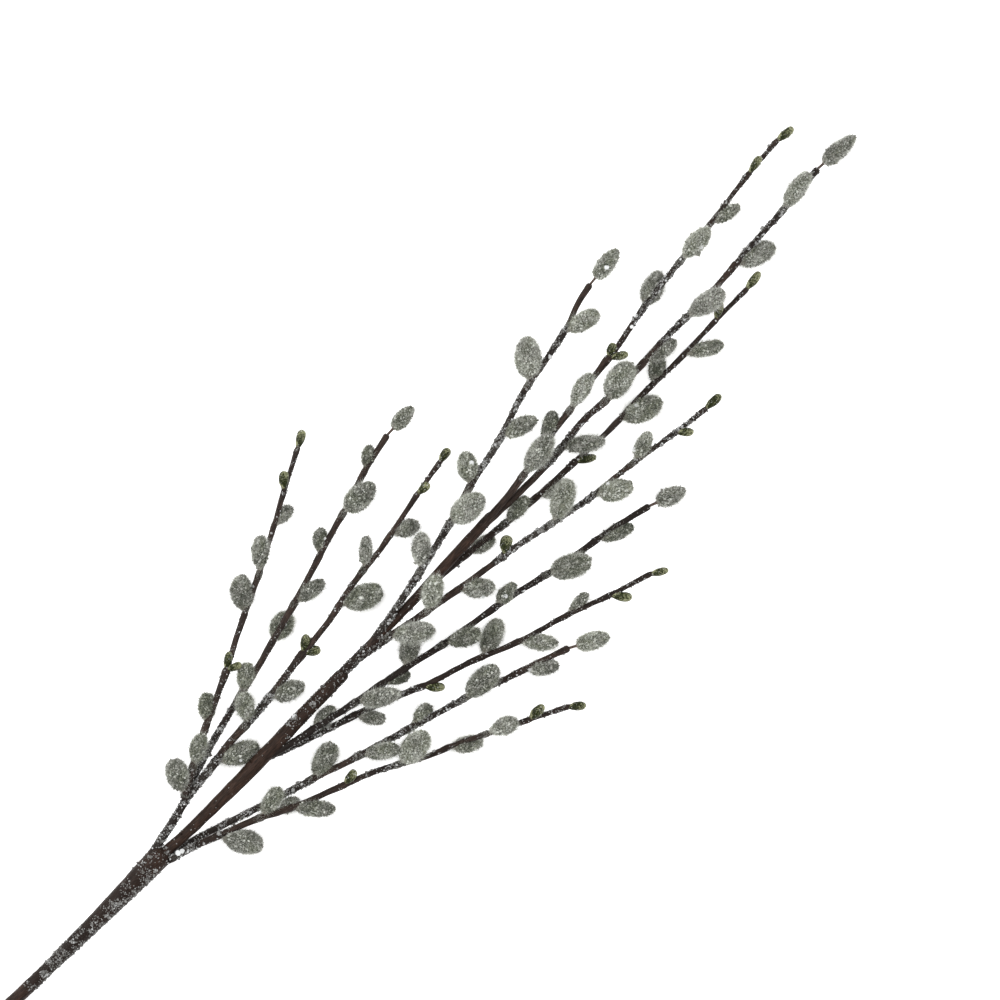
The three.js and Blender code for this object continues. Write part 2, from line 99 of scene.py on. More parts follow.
# Twigs. The path is x, y, z. A catkin or bud is the x where it sits on the twig, the x and y of its tip, how
# far the tip rises above the seat, and its width. A catkin that sits at the last x of the path ends the twig.
# A catkin's sixth value makes it paler, or darker if it is below zero, and "paler" does so for a whole twig.
# Part of the darkening is painted shade, where a catkin lies under other pieces.
# Frost is the x where a stretch starts and the share that is covered. Some twigs have darker bark.
TWIGS = {
    "left_low_inner": {
        "root_radius": 2.6,
        "path": [
            (-6, 1, 15), (20, 6.2, 17), (40, 11, 18), (60, 13.2, 18), (80, 16, 17.5), (100, 16.8, 17.5),
            (120, 19, 17.5), (145, 22.4, 17.5), (175, 25.8, 17.5), (190, 29.3, 17.5), (207, 32.2, 17),
            (225, 34, 16.5), (260, 40.9, 15), (290, 46.3, 13),
        ],
        "catkins": [
            (65, 91, 1.5, -5, 14, 0.05), (94, 107.5, 31.5, 7, 12), (115, 136.5, 8.5, -2, 12.5),
            (184, 209.5, 15.5, -4, 15.5), (210, 226, 46, 3, 9), (236, 253, 28, -6, 11),
        ],
        "buds": [
            (148, 158, 29.5, 1, 5.5), (148, 157.5, 17, -1, 6), (264, 274, 41.5, 3, 5.5),
            (286.5, 297.3, 47.9, 0, 5.5),
        ],
        "frost": [
            (2, 0.6), (20, 0.4), (40, 0.6), (69, 0.06), (94, 0.55), (119, 0.16), (144, 0.07), (240, 0.08),
            (268, 0.2), (290, 0),
        ],
    },
    "left_low_middle": {
        "paler": -0.05,
        "darker": 0.15,
        "path": [
            (36, 11.5, 15.8), (55, 18.4, 14), (80, 25.6, 12.8), (105, 31.8, 12.5), (120, 35.3, 12.6),
            (150, 43.4, 12.8), (168, 48.4, 13), (185, 53.4, 13.2), (210, 61.2, 13.2), (230, 66.8, 13),
            (250, 73.5, 12.5), (277, 79.8, 11.5),
        ],
        "catkins": [
            (105, 121.5, 42.3, 4, 11), (140, 159.5, 46, -12.6, 13.5), (166, 189, 44.5, 0, 10),
            (196.5, 210, 69, -4, 9.5, -0.06), (225, 251, 64.5, 11, 14.5), (251.5, 266, 83.3, -3, 8.5, -0.07),
            (277, 300.5, 80.7, -2, 9.5),
        ],
        "buds": [],
        "frost": [
            (40, 0.65), (84, 0.22), (106, 0.05), (160, 0.03), (277, 0),
        ],
    },
    "left_low_outer": {
        "paler": -0.02,
        "darker": 0.08,
        "path": [
            (36, 11.5, 19.8), (48, 17.9, 20.3), (58, 24, 20.2), (72, 31, 19.6), (90, 39.4, 18.6),
            (107, 47.3, 17.5), (130, 59.3, 15.5), (165, 76.2, 11.5), (190, 89.4, 8.8), (213, 102, 8),
            (235, 113.3, 7.5),
        ],
        "catkins": [
            (38, 48.5, 34, 3, 14.5), (54, 72.5, 31.5, 9, 10.5, -0.1), (77, 91.5, 47.3, -3, 11, -0.1),
            (140, 155.5, 83.5, -4, 14), (164, 181, 91, 7, 11, -0.09), (190, 206, 90.5, -9, 9, 0.06),
        ],
        "buds": [
            (108, 118, 54.8, 1, 5), (108, 117.8, 44.8, 3, 5), (209, 217.5, 108.5, 2, 6),
            (232, 243, 118, 0, 5.5),
        ],
        "frost": [
            (36, 0.15), (52, 0), (70, 0.1), (108, 0.12), (135, 0.04), (205, 0.25), (235, 0),
        ],
    },
    "right_low_inner": {
        "paler": -0.03,
        "path": [
            (-4, -4.5, 11.5), (20, -9.5, 11), (40, -15.8, 11), (65, -24.2, 11.2), (85, -30.5, 11.5),
            (105, -36.7, 12), (119, -41.7, 12.3), (135, -46.3, 12.5), (155, -52.4, 12.5),
            (185, -61.3, 12.5), (205, -67.3, 12.5), (220, -73, 12.5), (245, -81.3, 12), (263.5, -88, 11),
        ],
        "catkins": [
            (99, 124, -28.5, 2, 13.5, -0.05), (130, 149.5, -59.5, 5, 10.5), (163, 181, -53, -5, 9.5),
            (198, 226, -65, 11, 14.5, -0.07), (235, 252.5, -91.5, -4, 10.5),
            (263.5, 286.5, -100.5, -3, 11.5, 0.17),
        ],
        "buds": [],
        "frost": [
            (-2, 0.95), (20, 0.35), (44, 0.6), (96, 0.05), (120, 0.25), (146, 0.52), (171, 0.42),
            (200, 0.22), (240, 0.07), (263, 0),
        ],
    },
    "right_low_outer": {
        "darker": 0.26,
        "path": [
            (-4, -6, 15), (20, -13.1, 15.5), (40, -20.7, 16.3), (60, -28.7, 16.6), (80, -38.9, 16),
            (110, -50.7, 14.5), (130, -58.8, 13), (144, -66.5, 12), (157, -73.8, 11), (175, -81, 9.6),
            (193, -90, 9), (218, -102.5, 9), (240, -113.5, 8.5),
        ],
        "catkins": [
            (35, 49.5, -43, -3, 14.5), (61, 82.5, -24.5, 6, 11, -0.07), (70, 85, -37.8, -9, 10, 0.1),
            (78, 96.5, -58, -2, 10.5), (142, 168, -63.5, 10, 15.5, 0.09), (170, 187.5, -91.8, -9.5, 10.5),
            (192, 211.5, -97, 7, 11, 0.06),
        ],
        "buds": [
            (110, 121, -49, 2, 5.5), (216, 228.5, -101.5, 3, 6), (237, 246.5, -119.5, 0, 5.3),
        ],
        "frost": [
            (4, 0.8), (22, 0.1), (46, 0), (106, 0.08), (120, 0.3), (146, 0.1), (218, 0.25), (240, 0),
        ],
    },
    "right_mid_inner": {
        "paler": -0.05,
        "darker": 0.8,
        "path": [
            (82, -4, 19), (100, -9.2, 20), (120, -13.7, 20.5), (150, -20.3, 20.5), (170, -23.9, 19),
            (190, -28, 17), (210, -32.6, 16), (230, -36.1, 15.5), (258, -40.9, 15), (290, -48.3, 14.5),
            (308, -51.7, 14), (332, -55.6, 13), (358, -61.8, 12),
        ],
        "catkins": [
            (120, 139.5, -13.5, -8, 10), (150, 174, -36, 3, 11.5), (169, 186, -31.5, -6, 8.5, -0.25),
            (185, 206.5, -14, -7, 13), (212, 233.5, -44, 5, 11.5, -0.14), (249.5, 269, -37.3, -1, 9.5),
            (286, 311, -60, 9, 15), (321, 343.5, -64, -4, 9.5, -0.06), (358, 381, -70.3, -3, 11.5, 0.09),
        ],
        "buds": [],
        "frost": [
            (100, 0.12), (132, 0.12), (152, 0), (170, 0.03), (250, 0.15), (292, 0.07), (358, 0),
        ],
    },
    "right_mid_outer": {
        "paler": -0.02,
        "darker": 0.52,
        "path": [
            (84, -4.5, 16), (100, -10.6, 15.5), (115, -16, 15), (140, -24.3, 13.8), (152, -28.2, 13.2),
            (172, -36.4, 12.3), (190, -43.9, 12), (215, -51.8, 11.8), (235, -60.1, 11.8), (248, -64.9, 12),
            (275, -72.7, 11.5), (303, -82.8, 10.5), (331, -91.6, 9),
        ],
        "catkins": [
            (144, 155.5, -41, -4, 9.5, -0.08), (223, 246.5, -46, -12, 13), (244.5, 261.5, -82, -1, 10, 0.1),
            (277, 295.5, -72.5, -4, 8),
        ],
        "buds": [
            (185, 194, -52, -1, 5.5), (303, 311.8, -93.3, 0, 6), (328.5, 339, -97, 0, 4.8),
        ],
        "frost": [
            (86, 0.55), (134, 0.12), (152, 0.5), (184, 0.04), (259, 0.12), (331, 0),
        ],
    },
    "left_high": {
        "paler": 0.05,
        "path": [
            (178, -2, 22.5), (195, 0.3, 24.5), (205, 2.1, 25.5), (230, 7.2, 27), (268, 16.3, 27),
            (290, 22.7, 26), (320, 29.4, 24), (335, 34.2, 23), (350, 39.3, 22), (380, 45, 19.5),
            (400, 49.6, 17.5), (414, 54.7, 16.5), (427, 57.6, 15.5),
        ],
        "catkins": [
            (233.5, 251, 24.5, 2, 12), (266, 292.5, 13, 9, 16), (290, 303.5, 40.3, 0, 12.5),
            (324, 348, 23.3, -2, 11), (359, 378.7, 62.8, 0, 16, 0.07), (395, 419.5, 42, -2, 12, 0.09),
            (427, 454.5, 60.7, -2, 11),
        ],
        "buds": [],
        "frost": [
            (186, 0.55), (228, 0.75), (253, 0.4), (268, 0), (290, 0.2), (300, 0.8), (328, 0.62),
            (352, 0.18), (378, 0.52), (400, 0),
        ],
    },
    "right_high": {
        "paler": 0.04,
        "path": [
            (168, -3, 21), (182, -5.2, 22), (195, -7.2, 23.2), (222, -12.6, 25), (260, -18.8, 26),
            (285, -22.6, 26.5), (315, -29, 26), (335, -32.8, 25.2), (365, -36, 23), (400, -41.6, 20),
            (424, -44.5, 18),
        ],
        "catkins": [
            (192, 215, -23.5, 8, 13.5), (219, 239, -1, 12, 12.5, 0.07), (241, 259, -31, -2, 12.5),
            (310, 336, -17, 8, 14), (339, 360, -46.8, -1, 13, 0.04), (370, 390.5, -30, 1, 10),
        ],
        "buds": [
            (400, 408.3, -49, -1, 5.5), (422, 435.5, -44.8, 0, 5.5), (275, 285.3, -14, 2, 7.5),
        ],
        "frost": [
            (166, 0.35), (193, 0.03), (268, 0.75), (318, 0.5), (343, 0.18), (390, 0.55), (414, 0.2),
            (424, 0),
        ],
    },
    "tip_left": {
        "path": [
            (278, 1, 25), (300, 2.5, 27), (320, 5.2, 27.5), (346, 10.2, 26), (365, 12.8, 24),
            (390, 16.8, 20.5), (412, 19.5, 17), (440, 24.9, 12.6), (477, 29.3, 12), (503, 32.1, 11.5),
            (540, 37, 10), (569, 39.4, 8.5),
        ],
        "catkins": [
            (318, 346.5, 10, 11, 14, -0.05), (340, 358.5, 19.7, -3, 10, -0.2),
            (365.5, 390, 19.5, 9, 10.8, 0.13),
            (440, 463, 33.5, -12.5, 13), (476, 502, 31, 10, 11.5, 0.09), (504, 525, 27.5, -4, 9),
        ],
        "buds": [
            (403, 412, 22.7, 1, 5.5), (403, 413.5, 11.8, -1, 5.3), (541, 553.5, 39.7, 3, 5),
            (566.5, 580, 38, 0, 5.5),
        ],
        "frost": [
            (338, 0.15), (352, 0.02), (405, 0.15), (428, 0.45), (453, 0.55), (478, 0.2), (569, 0),
        ],
    },
    "tip_middle": {
        "paler": 0.02,
        "path": [
            (280, 0, 21.5), (300, -0.6, 21.5), (332, -0.7, 21.3), (350, 1, 21), (368, 2.7, 20.5),
            (385, 1.4, 20), (405, 1.2, 19.2), (435, 2.7, 17.5), (455, 2.7, 15.8), (482, 3.1, 13),
            (510, 5.4, 10.8), (538, 7, 9.8), (573, 10, 8),
        ],
        "catkins": [
            (345, 367.5, -15.8, 2, 11, -0.07), (384, 411, 6.8, 10, 15.5), (416, 440.5, -3, -4, 10),
            (454, 481.5, -2.5, 9, 12.8), (497, 522.5, -4.5, -11.8, 13.5, 0.03), (541, 567.7, 12.5, 9, 11),
            (573, 604, 8, -2, 11),
        ],
        "buds": [],
        "frost": [
            (330, 0.35), (355, 0.22), (380, 0.03), (430, 0.4), (460, 0.1), (500, 0.42), (530, 0.45),
            (573, 0),
        ],
    },
    "tip_right": {
        "darker": 0.4,
        "path": [
            (232, -2, 21.5), (245, -3.2, 19), (260, -4.7, 17), (290, -8, 15), (310, -9.8, 14),
            (345, -11.4, 12.8), (375, -12.5, 11.7), (400, -11.4, 11.4), (432, -12.2, 11),
            (460, -11.2, 10.5), (493, -11, 9.5),
        ],
        "catkins": [
            (261, 279.5, -9.5, -7, 10, 0.1), (289.5, 310.8, -6, 5, 9.8, -0.2),
            (314, 335.5, -19, -4, 10.5, 0.1),
            (381.5, 409, -22.5, -3, 14.5), (411, 427, -2.5, -5, 11, -0.05), (437, 459.2, -25, -2, 10),
        ],
        "buds": [
            (345, 356.5, -18.2, 0, 5.5), (465, 475.2, -5.3, 2, 5), (490.5, 504.5, -9.3, 0, 5.5),
        ],
        "frost": [
            (250, 0.04), (280, 0.25), (300, 0.05), (332, 0.12), (350, 0.07), (493, 0),
        ],
    },
}

# White flakes: what carries them, then x, y and width
FLAKES = [
    ("left_high", 441, 57.7, 3.4),
    ("left_high", 300.5, 32, 3.3),
    ("right_high", 375.3, -31.2, 3.2),
    ("right_high", 249, -29.5, 2.4),
    ("right_high", 349.5, -34.8, 2.6),
    ("right_mid_inner", 258.5, -39, 3),
    ("tip_left", 489.5, 26.5, 3.2),
    ("tip_left", 426.5, 21.8, 2.6),
    ("tip_left", 433, 24.8, 2.8),
    ("tip_right", 395, -13.5, 2.4),
    ("main_stem", 118, -0.6, 3.4),
    ("right_low_outer", 10.5, -9, 3.8),
    ("right_low_outer", 13, -9.8, 3.4),
    ("left_low_inner", 76.5, 3.8, 2.2),
]

# Forms, with lengths in millimetres
UP = np.array([0, 0, 1])
FULL_TURN = 2 * math.pi
GOLDEN_ANGLE = math.pi * (3 - math.sqrt(5))
RING_STEP = 1.2
PATH_SAMPLES = 40
STEM_SIDES = 28
TWIG_SIDES = 12
TWIG_ROOT_RADIUS = 2.1
CATKIN_END_RADIUS = 1.75
BUD_END_RADIUS = 1.4
END_RING_SHARE = 0.7
NODE_SWELLING = 0.4
NODE_RISE = 7
NODE_FALL = 1.2
WRAP_PITCH = 62
WRAP_STEP = 0.12
STEM_LUMPS = 0.06
CATKIN_RINGS = 26
CATKIN_SIDES = 18
CATKIN_COAT = 1
BUD_RINGS = 18
BUD_SIDES = 24
BUD_SCALE_STEP = 0.12
SPINDLE_BEND = 0.025
SPINDLE_LUMPS = 0.05
STEEPEST_SKIN = 2
HAIR_WIDTH = 0.14
HAIR_LEAN = 0.4
HAIR_TANGLE = 0.35
NECK_LENGTH = 5
NECK_HAIRS = 320
FLAKE_SIDES = 7
FLAKE_THICKNESS = 0.5
FLAKE_SLANT = 0.2
FLAKE_REACH = 0.6

# Stalks of catkins and buds: length, radius, from where to where along it the stalk's bare skin gives way to
# the body's, and 1 for a stalk in the colour of its kind or 2 for one like bark
CATKIN_STALK = (3, 1.15, 2.2, 5.9, 1)
TIP_CATKIN_STALK = (5, 0.8, 4.9, 5.5, 2)
BUD_STALK = (1, 1.3, 1.1, 2.6, 1)

# How fast a catkin or bud swells from its stalk and closes at its tip: the least and the most of each
CATKIN_FORM = ((0.46, 0.64), (0.45, 0.6))
TIP_CATKIN_FORM = ((0.38, 0.46), (0.52, 0.64))
BUD_FORM = ((0.6, 0.8), (0.4, 0.5))

# Ripples: how many waves are added up, then the slowest and fastest along a form and the most turns around it
WAVES = 6
STEM_RIPPLES = (0.05, 0.5, 4)
TWIG_RIPPLES = (0.05, 0.7, 3)
SPINDLE_RIPPLES = (1.5, 7, 3)
PATCH_RIPPLES = (3, 14, 4)
FROST_RIPPLES = (0.3, 1.2, 3)

# The sawn end, from its rim to the hollow pith: share of the radius, and depth
CUT_RINGS = ((1, 0), (0.9, -0.15), (0.3, -0.1), (0.16, 0.7))

# A flake, from its underside up: share of its width, and height in thicknesses
FLAKE_LAYERS = ((0.9, -0.5), (1, 0), (0.85, 0.5))

# The smallest crystal: a double pyramid, and how far it is stretched each way
GRAIN_POINTS = np.array([(1, 0, 0), (-1, 0, 0), (0, 1, 0), (0, -1, 0), (0, 0, 1), (0, 0, -1)])
GRAIN_FACES = np.array([
    (0, 2, 4), (2, 1, 4), (1, 3, 4), (3, 0, 4), (2, 0, 5), (1, 2, 5), (3, 1, 5), (0, 3, 5),
])
GRAIN_STRETCH = (0.7, 1.3)
GRAIN_FOOTPRINT = 0.5

# Tones of catkins and buds, from dark (0) to bright (1). A pair is the usual value and how far it varies.
GRAIN_TONE = (0.43, 0.24)
HAIR_TONE = (0.59, 0.24)
NECK_TONE = (0.35, 0.2)
FELT_TONE = 0.12
CATKIN_GREEN = (0.5, 0.3)
# The brightest grains are partly painted glints.
BRIGHT_GRAINS = 0.08
BRIGHT_STEP = 0.4
# Painted light and shade: a catkin is made paler the more it rises, and darker the lower it lies.
SHADE_OF_RISE = 0.014
LOWEST_SHADE = -0.08
HIGHEST_SHADE = 0.06
BUD_SHADE = (0.07, 0.42)
# A bud scale is darker towards its hidden edge, as painted shade under the lip before it, and pale at its
# free edge, partly as painted sheen.
BUD_SCALE_TONE = 0.9
BUD_TIP_TONE = 0.15

# Frost: how bright its grains are, how much darker the bark below is, which is painted shade between the
# grains and partly the look of wet bark, and how it gathers
STEM_FROST_LIGHT = 0.75
TWIG_FROST_LIGHT = 1.35
STEM_FROST_SHADE = 1.6
FROST_BLUR_RINGS = 9
FROST_BAR = (-0.3, 0.6)
CLUMP_GRAINS = 4
CLUMP_SPREAD = 3.5
BUD_GRAINS = 22

# Patterns of the surfaces: how fine, and how detailed
BARK_GRAIN = (2.2, 4)
BARK_PATCHES = (0.22, 2)
DUST_SPECKS = (1.5, 3)
CATKIN_MOTTLE = (900, 3)
BUD_MOTTLE = (1100, 3)
BUD_DUST = (1500, 2)
FROST_CLOUD = (1200, 2)
FLOOR_PAPER = (300, 2)
PATTERN_ROUGHNESS = 0.6
MATT = 0.15

# The photograph's view, in its pixels: the fork's place and the picture's side. A pixel covers 0.6 mm.
FORK_PIXEL = (155, 855)
PICTURE_SIDE = 1000
PIXEL = 0.0006
BRANCH_TURN = math.radians(45)
VIEW_HEIGHT = 0.02

# The studio, in metres. A light is its name, place and power.
LIGHTS = (("softbox_left", (-1.3, 1.8, 2.4), 60), ("softbox_right", (1.6, -1.4, 2.4), 35))
LIGHT_SIDE = 1.6
SKY_STRENGTH = 0.6
FLOOR_GLOW = 0.7
FLOOR_LEVEL = -0.0002
WHITE = (1, 1, 1, 1)


def linear(value):
    """A colour value picked from 0 to 255, as the linear value that shaders use."""
    share = value / 255
    return share / 12.92 if share <= 0.04045 else ((share + 0.055) / 1.055) ** 2.4


def colour(name, description, *value):
    return FloatVectorProperty(
        name=name, description=description, default=[linear(each) for each in value],
        subtype="COLOR", size=3, min=0, max=1,
    )


def length(name, description, default):
    return FloatProperty(name=name, description=description, default=default, unit="LENGTH", precision=5)


def fraction(name, description, default, most=1):
    return FloatProperty(
        name=name, description=description, default=default, min=0, max=most, subtype="FACTOR",
    )


class WillowSizes(bpy.types.PropertyGroup):
    """Sizes of the fine detail and of the studio."""

    grain_size: length("Grain size", "Usual width of the grains on a catkin", 0.00095)
    hair_length: length("Hair length", "Usual length of the fine hairs on a catkin", 0.0027)
    hair_cover: FloatProperty(
        name="Hair cover", description="Hairs for each grain of a catkin", default=3.2, min=0,
    )
    grain_cover: fraction("Grain cover", "Share of a catkin's skin that the grains cover", 0.62)
    frost_size: length("Frost size", "Usual width of the frost grains on bark", 0.0007)
    frost_cover: fraction("Frost cover", "How much of each frosted stretch holds grains", 0.9)
    bark_relief: fraction("Bark relief", "Depth of the bark's lumps, as a share of the radius", 0.03, 0.3)
    camera_distance: length("Camera distance", "Height of the camera above the branch", 6)
    floor_side: length("Floor side", "Length of the floor's sides", 40)


class WillowColours(bpy.types.PropertyGroup):
    """Colours of the branch and of the studio."""

    bark_dark: colour("Bark, dark", "Furrows of the twigs' bark", 24, 19, 16)
    bark_light: colour("Bark, light", "Ridges of the twigs' bark", 79, 63, 55)
    tape_dark: colour("Tape, dark", "Shaded grain of the wrapped main stem", 27, 19, 14)
    tape_light: colour("Tape, light", "Light grain of the wrapped main stem", 74, 54, 44)
    wood: colour("Wood", "The stem's cut end", 172, 140, 104)
    dust: colour("Frost dust", "Fine frost between the grains", 108, 104, 98)
    frost_grey: colour("Frost, grey", "Dull frost grains", 88, 85, 80)
    frost_white: colour("Frost, white", "Bright frost grains and flakes", 236, 238, 238)
    catkin_dark: colour("Catkin, dark", "Gaps between a catkin's grains", 70, 74, 62)
    catkin_grey: colour("Catkin, grey", "Most of a catkin's grains where it is grey", 150, 149, 142)
    catkin_green: colour("Catkin, green", "Most of a catkin's grains where it is green", 147, 150, 132)
    # Also painted glints on the brightest grains.
    catkin_light: colour("Catkin, light", "A catkin's bright grains", 224, 226, 218)
    stalk: colour("Stalk", "A catkin's stalk", 146, 141, 131)
    bud_dark: colour("Bud, dark", "Shaded green of a bud", 30, 36, 6)
    bud_light: colour("Bud, light", "Light green of a bud", 152, 154, 119)
    bud_base: colour("Bud, base", "Brown foot of a bud", 54, 42, 34)
    floor: colour("Floor", "The pale floor", 250, 250, 250)


def unit(vectors):
    return vectors / np.linalg.norm(vectors, axis=-1, keepdims=True)


def scaled(vectors, lengths):
    """Each vector times its own length."""
    return vectors * lengths[:, None]


def around(first, second, angle):
    """Directions at these angles, counted from the first direction towards the second."""
    return first * np.cos(angle)[:, None] + second * np.sin(angle)[:, None]


def ring_angles(sides):
    return np.linspace(0, FULL_TURN, sides, endpoint=False)


def columns_at(stops, run, rows):
    """The columns of some rows, read at stops between them."""
    return np.stack([np.interp(stops, run, column) for column in rows.T], axis=-1)


def random_for(*names):
    """A random source that is the same in each run."""
    return np.random.default_rng(zlib.crc32(" ".join(names).encode()))


def varied(width, spread, count, rng):
    """Widths that vary about the usual one."""
    return width * np.exp(rng.normal(0, spread, count))


class Shape:
    """Points, faces and values of one mesh while it is gathered."""

    def __init__(self):
        self.points = []
        self.faces = []
        self.smooth = []
        self.values = {}
        self.count = 0

    def add(self, points, faces, smooth, **values):
        """Add points and faces. A value is given once, or for each grain or hair, or for each point."""
        for block in faces:
            self.faces.append(block + self.count)
            self.smooth.append(np.full(len(block), smooth))
        for name, value in values.items():
            value = np.atleast_1d(np.asarray(value, float))
            repeats = len(points) // max(len(value), 1)
            self.values.setdefault(name, []).append(np.repeat(value, repeats, axis=0))
        self.points.append(points)
        self.count += len(points)


class Ripples:
    """Smooth lumps of about one unit, from a few waves along and around a form."""

    def __init__(self, rng, slowest, fastest, turns):
        self.along = rng.uniform(slowest, fastest, WAVES)
        self.around = rng.integers(-turns, turns + 1, WAVES)
        self.start = rng.uniform(0, FULL_TURN, WAVES)

    def __call__(self, along, angle):
        phases = np.multiply.outer(along, self.along) + np.multiply.outer(angle, self.around) + self.start
        return np.sin(phases).sum(axis=-1) / math.sqrt(WAVES / 2)


class Limb:
    """A stem or twig: the middles of its rings, the directions across them, and their radii."""

    def __init__(self, middles, radii):
        self.middles = middles
        self.x = middles[:, 0]
        self.radii = radii
        forward = unit(np.gradient(middles, axis=0))
        self.left = unit(np.cross(UP, forward))
        self.above = np.cross(forward, self.left)

    def middle_at(self, x):
        return columns_at(x, self.x, self.middles)

    def radius_at(self, x):
        return np.interp(x, self.x, self.radii)

    def skin(self, x, angle):
        """Points on the bark at these places along and around the limb, and the directions out of it."""
        ring = np.interp(x, self.x, np.arange(len(self.x))).round().astype(int)
        outward = around(self.left[ring], self.above[ring], angle)
        return self.middle_at(x) + scaled(outward, self.radius_at(x)), outward


class Spindle:
    """A catkin or bud: a stalk and a round body on the line from its seat to its tip."""

    def __init__(self, seat, tip, width, stalk, form, scale_step, rng):
        self.seat = seat
        self.length = np.linalg.norm(tip - seat)
        self.axis = (tip - seat) / self.length
        self.side = unit(np.cross(self.axis, UP))
        self.other = np.cross(self.axis, self.side)
        self.width = width
        stalk_length, self.stalk_radius, self.bare_until, self.coated_from, self.bareness = stalk
        self.stalk_share = stalk_length / self.length
        self.swell = rng.uniform(*form[0])
        self.close = rng.uniform(*form[1])
        self.scale_step = scale_step
        self.bend = rng.normal(0, SPINDLE_BEND) * self.length
        self.lumps = Ripples(rng, *SPINDLE_RIPPLES)

    def radius(self, share):
        """Half the width at these shares of the length: slim at the stalk and round at the tip."""
        body = np.clip((share - self.stalk_share) / (1 - self.stalk_share), 0, 1)
        widest = self.swell / (self.swell + self.close)
        bulge = (body / widest) ** self.swell * ((1 - body) / (1 - widest)) ** self.close
        stalk = self.stalk_radius * np.clip(2 - 2 * share, 0, 1)
        return np.cbrt((self.width / 2 * bulge) ** 3 + stalk ** 3)

    def stalk(self, share, angle):
        """How bare these places are, the same all around: most on the stalk, and not at all on the body."""
        left = (self.coated_from - share * self.length) / (self.coated_from - self.bare_until)
        return self.bareness * np.clip(left, 0, 1)

    def wrap(self, share, angle):
        """How far these places lie from the hidden edge (0) to the free edge (1) of a bud's winding scale."""
        return (angle / FULL_TURN + share) % 1

    def skin(self, share, angle):
        """Points on the skin at these shares of the length and angles, and the directions out of it."""
        step = 0.01
        slope = (self.radius(share + step) - self.radius(share - step)) / (2 * step * self.length)
        slope = np.clip(slope, -STEEPEST_SKIN, STEEPEST_SKIN)
        outward = around(self.side, self.other, angle)
        relief = SPINDLE_LUMPS * self.lumps(share, angle) + self.scale_step * (self.wrap(share, angle) - 0.5)
        radius = self.radius(share) * (1 + relief)
        line = self.seat + scaled(self.axis, share * self.length)
        line = line + scaled(self.other, self.bend * 4 * share * (1 - share))
        return line + scaled(outward, radius), unit(outward - scaled(self.axis, slope))

    def spread(self, count, rng):
        """Even places all over the skin, as shares of the length and angles."""
        shares = np.linspace(0, 1, 200)
        area = np.cumsum(self.radius(shares) + 0.2)
        place = (np.arange(count) + rng.uniform(0, 1, count)) / count
        share = np.interp(place * area[-1], area, shares)
        angle = np.arange(count) * GOLDEN_ANGLE + rng.normal(0, 0.12, count)
        return share, angle

    def area(self):
        return FULL_TURN * self.length * self.radius(np.linspace(0, 1, 60)).mean()


def smooth_path(points, step):
    """Places about one step apart on the smooth line through the given points."""
    points = np.asarray(points, float)
    ends = [2 * points[0] - points[1]], points, [2 * points[-1] - points[-2]]
    knots = np.concatenate(ends)
    samples = []
    for before, start, end, after in zip(knots, knots[1:], knots[2:], knots[3:]):
        gaps = [np.sqrt(np.linalg.norm(b - a)) for a, b in ((before, start), (start, end), (end, after))]
        t0, t1, t2, t3 = np.cumsum([0, *gaps])
        t = np.linspace(t1, t2, PATH_SAMPLES, endpoint=False)[:, None]

        def mix(first, first_t, last, last_t):
            return (last_t - t) / (last_t - first_t) * first + (t - first_t) / (last_t - first_t) * last

        a1 = mix(before, t0, start, t1)
        a2 = mix(start, t1, end, t2)
        a3 = mix(end, t2, after, t3)
        samples.append(mix(mix(a1, t0, a2, t2), t1, mix(a2, t1, a3, t3), t2))
    line = np.concatenate([*samples, points[-1:]])
    run = np.concatenate([[0], np.cumsum(np.linalg.norm(np.diff(line, axis=0), axis=1))])
    return columns_at(np.linspace(0, run[-1], round(run[-1] / step) + 1), run, line)


def stem_limb():
    rows = np.array(MAIN_STEM, float)
    x = np.unique(np.concatenate([np.arange(rows[0, 0], rows[-1, 0], RING_STEP), rows[:, 0]]))
    y, z, radii = columns_at(x, rows[:, 0], rows[:, 1:]).T
    return Limb(np.stack([x, y, z], axis=1), radii)


def ends_twig(row, twig):
    return row[0] == twig["path"][-1][0]


def twig_limb(name):
    """A twig that thins to its tip, and swells towards each catkin and bud like a wrap that ends there."""
    twig = TWIGS[name]
    middles = smooth_path(twig["path"], RING_STEP)
    share = np.linspace(0, 1, len(middles))
    ends_in_catkin = any(ends_twig(row, twig) for row in twig["catkins"])
    end_radius = CATKIN_END_RADIUS if ends_in_catkin else BUD_END_RADIUS
    radii = np.interp(share, [0, 1], [twig.get("root_radius", TWIG_ROOT_RADIUS), end_radius])
    for row in twig["catkins"] + twig["buds"]:
        past = middles[:, 0] - row[0]
        reach = np.where(past < 0, NODE_RISE, NODE_FALL)
        radii = radii + NODE_SWELLING * np.exp(-((past / reach) ** 2))
    radii[-1] *= END_RING_SHARE
    return Limb(middles, radii)


def twig_frost(twig):
    """The frosted stretches of a twig, as from x, to x and the share; they keep to neither side."""
    rows = twig["frost"]
    return [(start, end, cover, 0) for (start, cover), (end, _) in zip(rows, rows[1:]) if cover]


def frost_share(stretches, x):
    """How much of the bark is frosted at each x."""
    share = np.zeros(len(x))
    for start, end, cover, _ in stretches:
        share = np.where((x >= start) & (x < end), cover, share)
    reach = np.hanning(FROST_BLUR_RINGS)
    return np.convolve(share, reach / reach.sum(), mode="same")


def fan_faces(centre, ring):
    """Triangles from a centre to a closed ring of points."""
    return np.stack([np.full(len(ring), centre), ring, np.roll(ring, -1)], axis=1)


